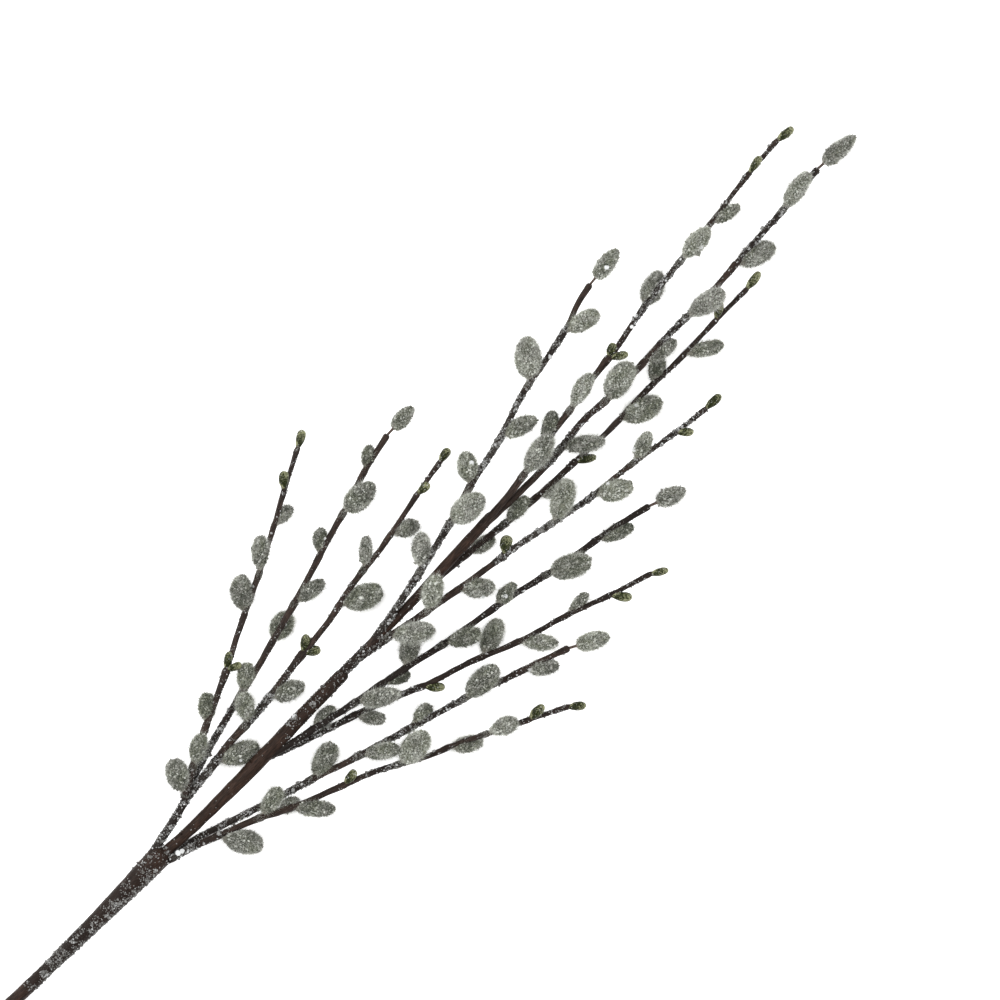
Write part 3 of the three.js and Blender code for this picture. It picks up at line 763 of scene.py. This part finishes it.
def tube_faces(rings, sides, closed_start):
    """Quads between rings of points, and triangles to the end's middle, which comes next, and, where the
    start is closed, to the start's.
    """
    ring, side = np.meshgrid(np.arange(rings - 1), np.arange(sides), indexing="ij")
    here = ring * sides + side
    beside = ring * sides + (side + 1) % sides
    quads = np.stack([here, beside, beside + sides, here + sides], axis=-1).reshape(-1, 4)
    end = rings * sides
    faces = [quads, fan_faces(end, np.arange(end - sides, end))]
    if closed_start:
        faces.append(fan_faces(end + 1, np.arange(sides))[:, ::-1])
    return faces


def add_bark(shape, limb, sides, frost, darker, lift):
    """The skin of a limb, closed at its end; lift is how far each point stands off the limb's own radius."""
    rings = len(limb.x)
    angle = np.tile(ring_angles(sides), rings)
    x = np.repeat(limb.x, sides)
    outward = around(np.repeat(limb.left, sides, axis=0), np.repeat(limb.above, sides, axis=0), angle)
    radius = np.repeat(limb.radii, sides) + lift(x, angle)
    points = np.repeat(limb.middles, sides, axis=0) + scaled(outward, radius)
    grain = np.stack([x, radius * np.cos(angle), radius * np.sin(angle)], axis=1)
    points = np.concatenate([points, limb.middles[-1:]])
    grain = np.concatenate([grain, [[limb.x[-1], 0, 0]]])
    share = np.append(np.repeat(frost, sides), frost[-1])
    shaded = np.append(np.repeat(darker, sides), darker[-1])
    faces = tube_faces(rings, sides, False)
    shape.add(points, faces, True, grain=grain, frost=share, darker=shaded, cut=0)


def add_cut_end(shape, limb, sides):
    """The flat sawn face at a limb's first ring, with a hollow pith."""
    middle = limb.middles[0]
    directions = around(limb.left[0], limb.above[0], ring_angles(sides))
    forward = np.cross(limb.left[0], limb.above[0])
    rings = [middle + forward * depth + directions * limb.radii[0] * share for share, depth in CUT_RINGS]
    pith_depth = CUT_RINGS[-1][1]
    points = np.concatenate([*rings, [middle + forward * pith_depth]])
    faces = [block[:, ::-1] for block in tube_faces(len(rings), sides, False)]
    shape.add(points, faces, False, grain=points - middle, frost=0, darker=0, cut=1)


def grain_count(area, cover, width):
    """How many grains of this width cover a share of an area."""
    return int(area * cover / (GRAIN_FOOTPRINT * width * width))


def add_grains(shape, centres, widths, rng, **values):
    """Small crystals at these places, turned and stretched at random."""
    count = len(centres)
    w, x, y, z = unit(rng.normal(size=(count, 4))).T
    turns = np.array([
        [1 - 2 * (y * y + z * z), 2 * (x * y - w * z), 2 * (x * z + w * y)],
        [2 * (x * y + w * z), 1 - 2 * (x * x + z * z), 2 * (y * z - w * x)],
        [2 * (x * z - w * y), 2 * (y * z + w * x), 1 - 2 * (x * x + y * y)],
    ])
    stretch = rng.uniform(*GRAIN_STRETCH, (count, 1, 3)) * widths[:, None, None] / 2
    corners = np.einsum("ijn,npj->npi", turns, GRAIN_POINTS * stretch) + centres[:, None]
    faces = GRAIN_FACES + (np.arange(count) * len(GRAIN_POINTS))[:, None, None]
    shape.add(corners.reshape(-1, 3), [faces.reshape(-1, 3)], False, **values)


def add_hairs(shape, roots, directions, lengths, rng, **values):
    """Fine hairs, each one a sliver that narrows to its end."""
    across = unit(np.cross(directions, rng.normal(size=roots.shape))) * HAIR_WIDTH / 2
    ends = roots + scaled(directions, lengths)
    points = np.stack([roots - across, roots + across, ends], axis=1).reshape(-1, 3)
    faces = np.arange(len(points)).reshape(-1, 3)
    shape.add(points, [faces], False, **values)


def add_spindle(shape, spindle, rings, sides, **values):
    """The closed skin of a catkin or bud; each value is worked out from shares of the length and angles."""
    steps = (1 - np.cos(np.linspace(0, math.pi, rings + 1)[:-1])) / 2
    share = np.repeat(steps, sides)
    angle = np.tile(ring_angles(sides), rings)
    points, _ = spindle.skin(share, angle)
    points = np.concatenate([points, [spindle.seat + spindle.axis * spindle.length], [spindle.seat]])
    share = np.append(share, [1, 0])
    angle = np.append(angle, [0, 0])
    each = {name: value(share, angle) for name, value in values.items()}
    shape.add(points, tube_faces(rings, sides, True), True, **each)


def spindles(name, kind):
    """The catkins or buds of a twig."""
    twig = TWIGS[name]
    limb = twig_limb(name)
    rng = random_for(name, kind)
    found = []
    for row in twig[kind]:
        seat_x, tip_x, tip_y, rise, width = row[:5]
        seat = limb.middle_at(seat_x)
        tip = np.array([tip_x, tip_y, seat[2] + rise])
        if kind == "buds":
            found.append(Spindle(seat, tip, width, BUD_STALK, BUD_FORM, BUD_SCALE_STEP, rng))
        else:
            stalk = TIP_CATKIN_STALK if ends_twig(row, twig) else CATKIN_STALK
            form = TIP_CATKIN_FORM if ends_twig(row, twig) else CATKIN_FORM
            tip = tip + unit(seat - tip) * CATKIN_COAT
            found.append(Spindle(seat, tip, width - 2 * CATKIN_COAT, stalk, form, 0, rng))
    return found


def tones_about(tone, shade, count, rng):
    """Tones that vary about the usual one, shifted by a shade."""
    usual, spread = tone
    return usual + shade + rng.normal(0, spread, count)


def add_neck(shape, limb, seat_x, shade, sizes, rng):
    """Hairs that lie on the twig just below a catkin, and grow thicker towards it."""
    x = seat_x - NECK_LENGTH * rng.beta(1, 1.5, NECK_HAIRS)
    x = np.maximum(x, limb.x[0] + 1)
    roots, outward = limb.skin(x, rng.uniform(0, FULL_TURN, NECK_HAIRS))
    forward = unit(limb.middle_at(x + 1) - limb.middle_at(x))
    directions = unit(forward + 0.3 * outward + rng.normal(0, 0.15, roots.shape))
    lengths = sizes.hair_length / MM * rng.uniform(0.3, 0.7, NECK_HAIRS)
    tones = tones_about(NECK_TONE, shade, NECK_HAIRS, rng)
    add_hairs(shape, roots, directions, lengths, rng, tone=tones, stalk=0, green=0)


def catkin_shade(twig, row, rng):
    """How much paler a catkin is than most: those that lie low are darker, as painted shade, and those that
    rise are paler, as painted light.
    """
    by_rise = np.clip(row[3] * SHADE_OF_RISE, LOWEST_SHADE, HIGHEST_SHADE)
    return by_rise + sum(row[5:]) + twig.get("paler", 0) + rng.normal(0, 0.02)


def add_catkin(shape, spindle, shade, sizes, rng):
    """A catkin: dark felt under a coat of grains and fine hairs, with greyer and greener patches."""
    patches = Ripples(rng, *PATCH_RIPPLES)
    hue = rng.normal(*CATKIN_GREEN)

    def felt(share, angle):
        return FELT_TONE + shade * 0.5 + 0.06 * spindle.lumps(share * 3, angle)

    def green(share, angle):
        return np.clip(hue + 0.3 * patches(share, angle + 1), 0, 1)

    add_spindle(shape, spindle, CATKIN_RINGS, CATKIN_SIDES, tone=felt, stalk=spindle.stalk, green=green)

    grain = sizes.grain_size / MM
    count = grain_count(spindle.area(), sizes.grain_cover, grain)
    share, angle = spindle.spread(count, rng)
    kept = rng.uniform(size=count) > 0.85 * spindle.stalk(share, angle)
    share, angle = share[kept], angle[kept]
    count = len(share)
    places, outward = spindle.skin(share, angle)
    widths = varied(grain, 0.3, count, rng)
    tones = tones_about(GRAIN_TONE, shade + 0.07 * patches(share, angle), count, rng)
    # A few grains are made nearly white: the white of some crystals, and partly painted glints.
    tones[rng.uniform(size=count) < BRIGHT_GRAINS] += BRIGHT_STEP
    places = places + scaled(outward, widths * rng.uniform(0, 0.4, count))
    dull = 0.6 * spindle.stalk(share, angle)
    add_grains(shape, places, widths, rng, tone=tones, stalk=dull, green=green(share, angle))

    share, angle = spindle.spread(int(count * sizes.hair_cover), rng)
    kept = spindle.stalk(share, angle) < 1.2
    share, angle = share[kept], angle[kept]
    count = len(share)
    roots, outward = spindle.skin(share, angle)
    directions = unit(outward + HAIR_LEAN * spindle.axis + rng.normal(0, HAIR_TANGLE, roots.shape))
    lengths = sizes.hair_length / MM * np.clip(rng.gamma(4, 0.25, count), 0.3, 2)
    tones = tones_about(HAIR_TONE, shade + 0.1 * patches(share, angle), count, rng)
    add_hairs(shape, roots, directions, lengths, rng, tone=tones, stalk=0, green=green(share, angle))


def catkins_of(name, sizes):
    """The catkins of a twig. Those that rise have hairs on the bark below them."""
    shape = Shape()
    rng = random_for(name, "grains")
    limb = twig_limb(name)
    for row, spindle in zip(TWIGS[name]["catkins"], spindles(name, "catkins")):
        shade = catkin_shade(TWIGS[name], row, rng)
        if row[3] >= 0:
            add_neck(shape, limb, row[0], shade, sizes, rng)
        add_catkin(shape, spindle, shade, sizes, rng)
    return shape


def buds_of(name):
    """The green buds of a twig: each has a brown foot and a winding scale with a pale edge, partly painted
    sheen, and painted shade under its lip.
    """
    shape = Shape()
    rng = random_for(name, "scales")
    for spindle in spindles(name, "buds"):
        shade = rng.uniform(*BUD_SHADE)

        def tone(share, angle):
            # Painted shade towards the scale's hidden edge under the lip, and a pale free edge that is partly
            # painted sheen.
            scale = BUD_SCALE_TONE * (spindle.wrap(share, angle) - 0.5)
            return shade + scale + BUD_TIP_TONE * (2 * share - 1) ** 3

        add_spindle(shape, spindle, BUD_RINGS, BUD_SIDES, tone=tone, foot=spindle.stalk)
    return shape


def add_frost(shape, limb, stretches, brightness, sizes, rng):
    """Grains in clumps on the frosted stretches of a limb."""
    width = sizes.frost_size / MM
    clumps = Ripples(rng, *FROST_RIPPLES)
    for start, end, cover, side in stretches:
        area = (end - start) * FULL_TURN * limb.radius_at((start + end) / 2)
        count = grain_count(area, cover * sizes.frost_cover, width)
        x = rng.uniform(start, end, count)
        angle = rng.uniform(0, FULL_TURN, count)
        kept = 0.9 * clumps(x, angle) + 2 * side * np.cos(angle) > rng.normal(*FROST_BAR, count)
        x, angle = x[kept], angle[kept]
        places, outward = limb.skin(x, angle)
        widths = varied(width, 0.45, len(x), rng)
        tones = brightness * rng.beta(1, 3.5, len(x))
        add_grains(shape, places + scaled(outward, widths * 0.1), widths, rng, tone=tones)


def add_clumps(shape, limb, sizes, rng):
    """The thick clumps of frost on the main stem."""
    for clump_x, clump_y, clump_width in FROST_CLUMPS:
        count = int(CLUMP_GRAINS * clump_width ** 2)
        x = rng.normal(clump_x, clump_width / CLUMP_SPREAD, count)
        y = rng.normal(clump_y, clump_width / CLUMP_SPREAD, count)
        aside = (y - limb.middle_at(x)[:, 1]) / limb.radius_at(x)
        places, outward = limb.skin(x, np.arccos(np.clip(aside, -1, 1)))
        widths = varied(1.2 * sizes.frost_size / MM, 0.3, count, rng)
        places = places + outward * rng.uniform(0, 0.5, (count, 1))
        add_grains(shape, places, widths, rng, tone=0.8 * rng.beta(1, 3, count))


def add_bud_frost(shape, name, sizes, rng):
    """A few grains on each bud."""
    for spindle in spindles(name, "buds"):
        share = rng.uniform(0.25, 1, BUD_GRAINS)
        angle = rng.uniform(0, FULL_TURN, BUD_GRAINS)
        places, _ = spindle.skin(share, angle)
        widths = varied(0.8 * sizes.frost_size / MM, 0.25, BUD_GRAINS, rng)
        add_grains(shape, places, widths, rng, tone=rng.beta(1.2, 1.6, BUD_GRAINS))


def add_flake(shape, place, width, rng):
    """A thin round flake that lies at a slant on what is below it."""
    angle = ring_angles(FLAKE_SIDES) + rng.uniform(0, 1)
    reach = width / 2 * rng.uniform(0.85, 1.1, FLAKE_SIDES)
    slant = rng.normal(0, FLAKE_SLANT, 2)
    rim = np.stack([np.cos(angle) * reach, np.sin(angle) * reach], axis=1)
    height = rim @ slant
    layers = []
    for share, level in FLAKE_LAYERS:
        layers.append(np.column_stack([rim * share, height * share + level * FLAKE_THICKNESS]))
    middles = [[0, 0, FLAKE_THICKNESS / 2], [0, 0, -FLAKE_THICKNESS / 2]]
    points = np.concatenate([*layers, middles]) + place
    faces = tube_faces(len(layers), FLAKE_SIDES, True)
    shape.add(points, faces, False, tone=rng.uniform(0.6, 0.95))


def highest_at(points, x, y):
    """The highest of the points that are about below x, y."""
    distance = np.hypot(points[:, 0] - x, points[:, 1] - y)
    near = points[distance < distance.min() + FLAKE_REACH]
    return near[near[:, 2].argmax()]


def add_flakes(shape, name, limb, rng):
    """The flakes of a limb, each set down on the bark or catkin below it."""
    sides = 24
    angle = np.tile(np.linspace(0, FULL_TURN, sides), len(limb.x))
    skins = [limb.skin(np.repeat(limb.x, sides), angle)[0]]
    if name in TWIGS:
        for spindle in spindles(name, "catkins"):
            skins.append(spindle.skin(*spindle.spread(800, rng))[0])
    points = np.concatenate(skins)
    for carrier, x, y, width in FLAKES:
        if carrier == name:
            below = highest_at(points, x, y)
            add_flake(shape, np.array([x, y, below[2] + FLAKE_THICKNESS / 2]), width, rng)


def add_piece(name, shape, material, node):
    """Make one mesh object of a gathered shape, in the place of a node of the frame."""
    points = (np.concatenate(shape.points) - BRANCH_MIDDLE) * MM
    points[:, 2] = np.maximum(points[:, 2], 0)
    sizes = np.concatenate([np.full(len(block), block.shape[1]) for block in shape.faces])
    corners = np.concatenate([block.ravel() for block in shape.faces])
    mesh = bpy.data.meshes.new(name)
    mesh.vertices.add(len(points))
    mesh.vertices.foreach_set("co", points.astype(np.float32).ravel())
    mesh.loops.add(len(corners))
    mesh.polygons.add(len(sizes))
    mesh.polygons.foreach_set("loop_start", (np.cumsum(sizes) - sizes).astype(np.int32))
    mesh.polygons.foreach_set("vertices", corners.astype(np.int32))
    mesh.polygons.foreach_set("use_smooth", np.concatenate(shape.smooth))
    for value_name, blocks in shape.values.items():
        value = np.concatenate(blocks).astype(np.float32)
        kind, field = ("FLOAT_VECTOR", "vector") if value.ndim == 2 else ("FLOAT", "value")
        mesh.attributes.new(value_name, kind, "POINT").data.foreach_set(field, value.ravel())
    mesh.update(calc_edges=True)
    mesh.validate()
    mesh.materials.append(material)
    piece = bpy.data.objects.new(name, mesh)
    bpy.context.scene.collection.objects.link(piece)
    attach(piece, "root")
    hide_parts(node)


class Paint:
    """A material while its nodes are laid out."""

    def __init__(self, name):
        self.material = bpy.data.materials.new(name)
        self.material.use_nodes = True
        self.tree = self.material.node_tree
        self.shader = self.tree.nodes["Principled BSDF"]

    def fill(self, node, inputs):
        """Link a node's inputs to sockets, or set them to values."""
        for key, value in inputs.items():
            if isinstance(value, bpy.types.NodeSocket):
                self.tree.links.new(value, node.inputs[key])
            else:
                node.inputs[key].default_value = value

    def node(self, kind, output, inputs, **settings):
        """The output of a new node."""
        made = self.tree.nodes.new(f"ShaderNode{kind}")
        for name, value in settings.items():
            setattr(made, name, value)
        self.fill(made, inputs)
        return made.outputs[output]

    def value(self, name, output="Fac"):
        return self.node("Attribute", output, {}, attribute_name=name)

    def place(self):
        return self.node("TexCoord", "Object", {})

    def sum(self, first, second):
        return self.node("Math", 0, {0: first, 1: second}, operation="ADD")

    def product(self, first, second):
        return self.node("Math", 0, {0: first, 1: second}, operation="MULTIPLY")

    def noise(self, place, scale, detail):
        inputs = {"Vector": place, "Scale": scale, "Detail": detail, "Roughness": PATTERN_ROUGHNESS}
        return self.node("TexNoise", "Fac", inputs)

    def squeezed(self, place, share):
        """Places squeezed along the limb, so that a pattern on them runs lengthwise."""
        return self.node("VectorMath", 0, {0: place, 1: (share, 1, 1)}, operation="MULTIPLY")

    def blend(self, share, *colours):
        """A colour between two colours."""
        first, second = [each if isinstance(each, bpy.types.NodeSocket) else (*each, 1) for each in colours]
        return self.node("Mix", 2, {0: share, 6: first, 7: second}, data_type="RGBA")

    def between(self, value, low, high, from_value=0, to_value=1):
        """A value carried from one range to another, and held at its ends."""
        inputs = {"Value": value, "From Min": low, "From Max": high, "To Min": from_value, "To Max": to_value}
        return self.node("MapRange", "Result", inputs)

    def bump(self, height, distance):
        return self.node("Bump", "Normal", {"Height": height, "Strength": 1, "Distance": distance})

    def finish(self, inputs):
        """Fill in the shader, and give the material."""
        self.fill(self.shader, inputs)
        return self.material


def bark_material(name, dark, light, colours):
    """Brown bark with lengthwise grain, dusted with frost and darkened below it as painted shade between the
    grains, and pale wood with rings where it is cut.
    """
    paint = Paint(name)
    place = paint.value("grain", "Vector")
    frost = paint.value("frost")
    grain = paint.noise(paint.squeezed(place, 0.1), *BARK_GRAIN)
    patches = paint.noise(paint.squeezed(place, 0.4), *BARK_PATCHES)
    brown = paint.blend(paint.between(grain, 0.36, 0.64), dark, light)
    brown = paint.blend(paint.between(patches, 0.35, 0.75, 0, 0.7), brown, dark)
    # On the stem the darker value is more painted shade below the frost; on a twig it is that twig's own
    # darker bark.
    brown = paint.blend(paint.value("darker"), brown, dark)
    # Where bark is frosted it is made darker: painted shade between the frost grains, partly the look of wet
    # bark.
    brown = paint.blend(paint.between(frost, 0.05, 0.4, 0, 0.8), brown, dark)
    cover = paint.sum(paint.noise(place, *DUST_SPECKS), paint.product(frost, 0.32))
    dusted = paint.product(paint.between(cover, 0.68, 0.78, 0, 0.3), paint.between(frost, 0.02, 0.2))
    skin = paint.blend(dusted, brown, colours.dust)
    ring_form = {"Vector": place, "Scale": 0.9, "Distortion": 1.2, "Detail": 2}
    rings = paint.node("TexWave", "Fac", ring_form, wave_type="RINGS", rings_direction="X")
    wood = paint.blend(rings, colours.wood, light)
    return paint.finish({
        "Base Color": paint.blend(paint.value("cut"), skin, wood),
        "Roughness": paint.between(grain, 0.3, 0.7, 0.62, 0.45),
        "Specular IOR Level": MATT,
        "Normal": paint.bump(paint.sum(grain, paint.product(dusted, 0.8)), 0.00018),
    })


def catkin_material(colours):
    """Grey-green felt and grains, dark in the gaps and nearly white on the brightest grains, which are partly
    painted glints.
    """
    paint = Paint("frosted_catkin")
    stalk = paint.value("stalk")
    mottle = paint.noise(paint.place(), *CATKIN_MOTTLE)
    tone = paint.sum(paint.value("tone"), paint.between(mottle, 0.3, 0.7, -0.12, 0.12))
    middle = paint.blend(paint.value("green"), colours.catkin_grey, colours.catkin_green)
    coat = paint.blend(paint.between(tone, 0.05, 0.45), colours.catkin_dark, middle)
    coat = paint.blend(paint.between(tone, 0.45, 0.95), coat, colours.catkin_light)
    coat = paint.blend(stalk, coat, colours.stalk)
    coat = paint.blend(paint.between(stalk, 1, 2), coat, colours.bark_light)
    return paint.finish({
        "Base Color": coat,
        "Roughness": paint.between(tone, 0.2, 0.9, 0.8, 0.3),
        "Normal": paint.bump(mottle, 0.0002),
    })


def bud_material(colours):
    """Mottled olive bud scales on a brown foot."""
    paint = Paint("olive_bud")
    place = paint.place()
    mottle = paint.noise(place, *BUD_MOTTLE)
    tone = paint.sum(paint.value("tone"), paint.between(mottle, 0.35, 0.65, -0.45, 0.45))
    green = paint.blend(paint.between(tone, 0.1, 0.8), colours.bud_dark, colours.bud_light)
    dusted = paint.between(paint.noise(place, *BUD_DUST), 0.62, 0.7, 0, 0.5)
    green = paint.blend(dusted, green, colours.dust)
    return paint.finish({
        "Base Color": paint.blend(paint.value("foot"), green, colours.bud_base),
        "Roughness": paint.between(mottle, 0.3, 0.7, 0.32, 0.5),
        "Specular IOR Level": MATT,
        "Normal": paint.bump(mottle, 0.00015),
    })


def frost_material(colours):
    """Frost grains from dull grey to bright white."""
    paint = Paint("white_frost")
    cloud = paint.noise(paint.place(), *FROST_CLOUD)
    tone = paint.sum(paint.value("tone"), paint.between(cloud, 0.3, 0.7, -0.1, 0.1))
    return paint.finish({
        "Base Color": paint.blend(paint.between(tone, 0, 1), colours.frost_grey, colours.frost_white),
        "Roughness": paint.between(tone, 0, 1, 0.6, 0.25),
    })


def floor_material(colours):
    """A pale table that is lit a little from below, so that shadows on it stay faint."""
    paint = Paint("pale_floor")
    paper = paint.noise(paint.place(), *FLOOR_PAPER)
    return paint.finish({
        "Base Color": (*colours.floor, 1),
        "Roughness": paint.between(paper, 0.3, 0.7, 0.85, 0.9),
        "Specular IOR Level": 0,
        "Emission Color": WHITE,
        "Emission Strength": FLOOR_GLOW,
    })


def add_light(name, place, power):
    """A soft square light that faces the middle of the branch."""
    light = bpy.data.lights.new(name, "AREA")
    light.size = LIGHT_SIDE
    light.energy = power
    lamp = bpy.data.objects.new(name, light)
    lamp.location = place
    lamp.rotation_euler = lamp.location.to_track_quat("Z", "Y").to_euler()
    lamp.visible_camera = False
    bpy.context.scene.collection.objects.link(lamp)


def add_camera(sizes):
    """A long lens that looks straight down, turned so that the branch runs up to the right."""
    right = (PICTURE_SIDE / 2 - FORK_PIXEL[0]) * PIXEL
    up = (FORK_PIXEL[1] - PICTURE_SIDE / 2) * PIXEL
    along = right * math.cos(BRANCH_TURN) + up * math.sin(BRANCH_TURN)
    across = up * math.cos(BRANCH_TURN) - right * math.sin(BRANCH_TURN)
    lens = bpy.data.cameras.new("photo_view")
    lens.lens = lens.sensor_width * sizes.camera_distance / (PICTURE_SIDE * PIXEL)
    camera = bpy.data.objects.new("photo_view", lens)
    middle = BRANCH_MIDDLE * MM
    camera.location = (along - middle[0], across - middle[1], VIEW_HEIGHT + sizes.camera_distance)
    camera.rotation_euler = (0, 0, -BRANCH_TURN)
    bpy.context.scene.collection.objects.link(camera)
    bpy.context.scene.camera = camera


class WILLOW_OT_stage(bpy.types.Operator):
    """Make the floor, the lights and the camera"""

    bl_idname = "willow.stage"
    bl_label = "Stage"

    def execute(self, context):
        sizes = context.scene.willow_sizes
        half = sizes.floor_side / 2
        mesh = bpy.data.meshes.new("floor")
        corners = [(-half, -half, 0), (half, -half, 0), (half, half, 0), (-half, half, 0)]
        mesh.from_pydata(corners, [], [(0, 1, 2, 3)])
        mesh.materials.append(floor_material(context.scene.willow_colours))
        floor = bpy.data.objects.new("floor", mesh)
        floor.location.z = FLOOR_LEVEL
        context.scene.collection.objects.link(floor)
        world = bpy.data.worlds.new("white_studio")
        world.use_nodes = True
        sky = world.node_tree.nodes["Background"]
        sky.inputs["Color"].default_value = WHITE
        sky.inputs["Strength"].default_value = SKY_STRENGTH
        context.scene.world = world
        context.scene.view_settings.view_transform = "Standard"
        for light in LIGHTS:
            add_light(*light)
        add_camera(sizes)
        return {"FINISHED"}


class WILLOW_OT_stem(bpy.types.Operator):
    """Make the taped main stem with its cut end"""

    bl_idname = "willow.stem"
    bl_label = "Main stem"

    def execute(self, context):
        colours = context.scene.willow_colours
        limb = stem_limb()
        lumps = Ripples(random_for("main_stem"), *STEM_RIPPLES)

        def lift(x, angle):
            wrap = (x / WRAP_PITCH + angle / FULL_TURN) % 1
            return WRAP_STEP * wrap + STEM_LUMPS * lumps(x, angle)

        shape = Shape()
        frost = frost_share(STEM_FROST, limb.x)
        # Below the frost the stem's bark is made darker too: painted shade between the grains.
        add_bark(shape, limb, STEM_SIDES, frost, STEM_FROST_SHADE * frost, lift)
        add_cut_end(shape, limb, STEM_SIDES)
        tape = bark_material("brown_tape", colours.tape_dark, colours.tape_light, colours)
        add_piece("main_stem_bark", shape, tape, "main_stem")
        return {"FINISHED"}


class WILLOW_OT_twigs(bpy.types.Operator):
    """Make the bark of every twig"""

    bl_idname = "willow.twigs"
    bl_label = "Twigs"

    def execute(self, context):
        sizes = context.scene.willow_sizes
        colours = context.scene.willow_colours
        bark = bark_material("dark_bark", colours.bark_dark, colours.bark_light, colours)
        for name, twig in TWIGS.items():
            limb = twig_limb(name)
            lumps = Ripples(random_for(name, "bark"), *TWIG_RIPPLES)

            def lift(x, angle):
                return sizes.bark_relief * TWIG_ROOT_RADIUS * lumps(x, angle)

            shape = Shape()
            frost = frost_share(twig_frost(twig), limb.x)
            darker = np.full(len(frost), twig.get("darker", 0))
            add_bark(shape, limb, TWIG_SIDES, frost, darker, lift)
            add_piece(f"{name}_bark", shape, bark, name)
        return {"FINISHED"}


class WILLOW_OT_catkins(bpy.types.Operator):
    """Make the catkins of every twig"""

    bl_idname = "willow.catkins"
    bl_label = "Catkins"

    def execute(self, context):
        coat = catkin_material(context.scene.willow_colours)
        for name in TWIGS:
            shape = catkins_of(name, context.scene.willow_sizes)
            add_piece(f"{name}_catkins", shape, coat, name)
        return {"FINISHED"}


class WILLOW_OT_buds(bpy.types.Operator):
    """Make the buds of every twig that has some"""

    bl_idname = "willow.buds"
    bl_label = "Buds"

    def execute(self, context):
        olive = bud_material(context.scene.willow_colours)
        for name, twig in TWIGS.items():
            if twig["buds"]:
                add_piece(f"{name}_buds", buds_of(name), olive, name)
        return {"FINISHED"}


class WILLOW_OT_frost(bpy.types.Operator):
    """Scatter frost grains and flakes on the stem and the twigs"""

    bl_idname = "willow.frost"
    bl_label = "Frost"

    def execute(self, context):
        sizes = context.scene.willow_sizes
        white = frost_material(context.scene.willow_colours)
        for name in ("main_stem", *TWIGS):
            rng = random_for(name, "frost")
            shape = Shape()
            if name in TWIGS:
                limb = twig_limb(name)
                add_frost(shape, limb, twig_frost(TWIGS[name]), TWIG_FROST_LIGHT, sizes, rng)
                add_bud_frost(shape, name, sizes, rng)
            else:
                limb = stem_limb()
                add_frost(shape, limb, STEM_FROST, STEM_FROST_LIGHT, sizes, rng)
                add_clumps(shape, limb, sizes, rng)
            add_flakes(shape, name, limb, rng)
            add_piece(f"{name}_frost", shape, white, name)
        return {"FINISHED"}


class WILLOW_PT_branch(bpy.types.Panel):
    """Lists the steps that make the branch, and its sizes and colours"""

    bl_idname = "WILLOW_PT_branch"
    bl_label = "Frosted willow branch"
    bl_space_type = "VIEW_3D"
    bl_region_type = "UI"
    bl_category = "Willow"

    def draw(self, context):
        for step in STEPS:
            self.layout.operator(step.bl_idname)
        for group in (context.scene.willow_sizes, context.scene.willow_colours):
            for name in group.__annotations__:
                self.layout.prop(group, name)


STEPS = (
    WILLOW_OT_stage, WILLOW_OT_stem, WILLOW_OT_twigs, WILLOW_OT_catkins, WILLOW_OT_buds, WILLOW_OT_frost,
)
CLASSES = (WillowSizes, WillowColours, *STEPS, WILLOW_PT_branch)


def register():
    for each in CLASSES:
        bpy.utils.register_class(each)
    bpy.types.Scene.willow_sizes = PointerProperty(type=WillowSizes)
    bpy.types.Scene.willow_colours = PointerProperty(type=WillowColours)


def unregister():
    del bpy.types.Scene.willow_colours
    del bpy.types.Scene.willow_sizes
    for each in reversed(CLASSES):
        bpy.utils.unregister_class(each)


def main():
    register()
    bpy.ops.willow.stage()
    bpy.ops.willow.stem()
    bpy.ops.willow.twigs()
    bpy.ops.willow.catkins()
    bpy.ops.willow.buds()
    bpy.ops.willow.frost()


if __name__ == "__main__":
    main()
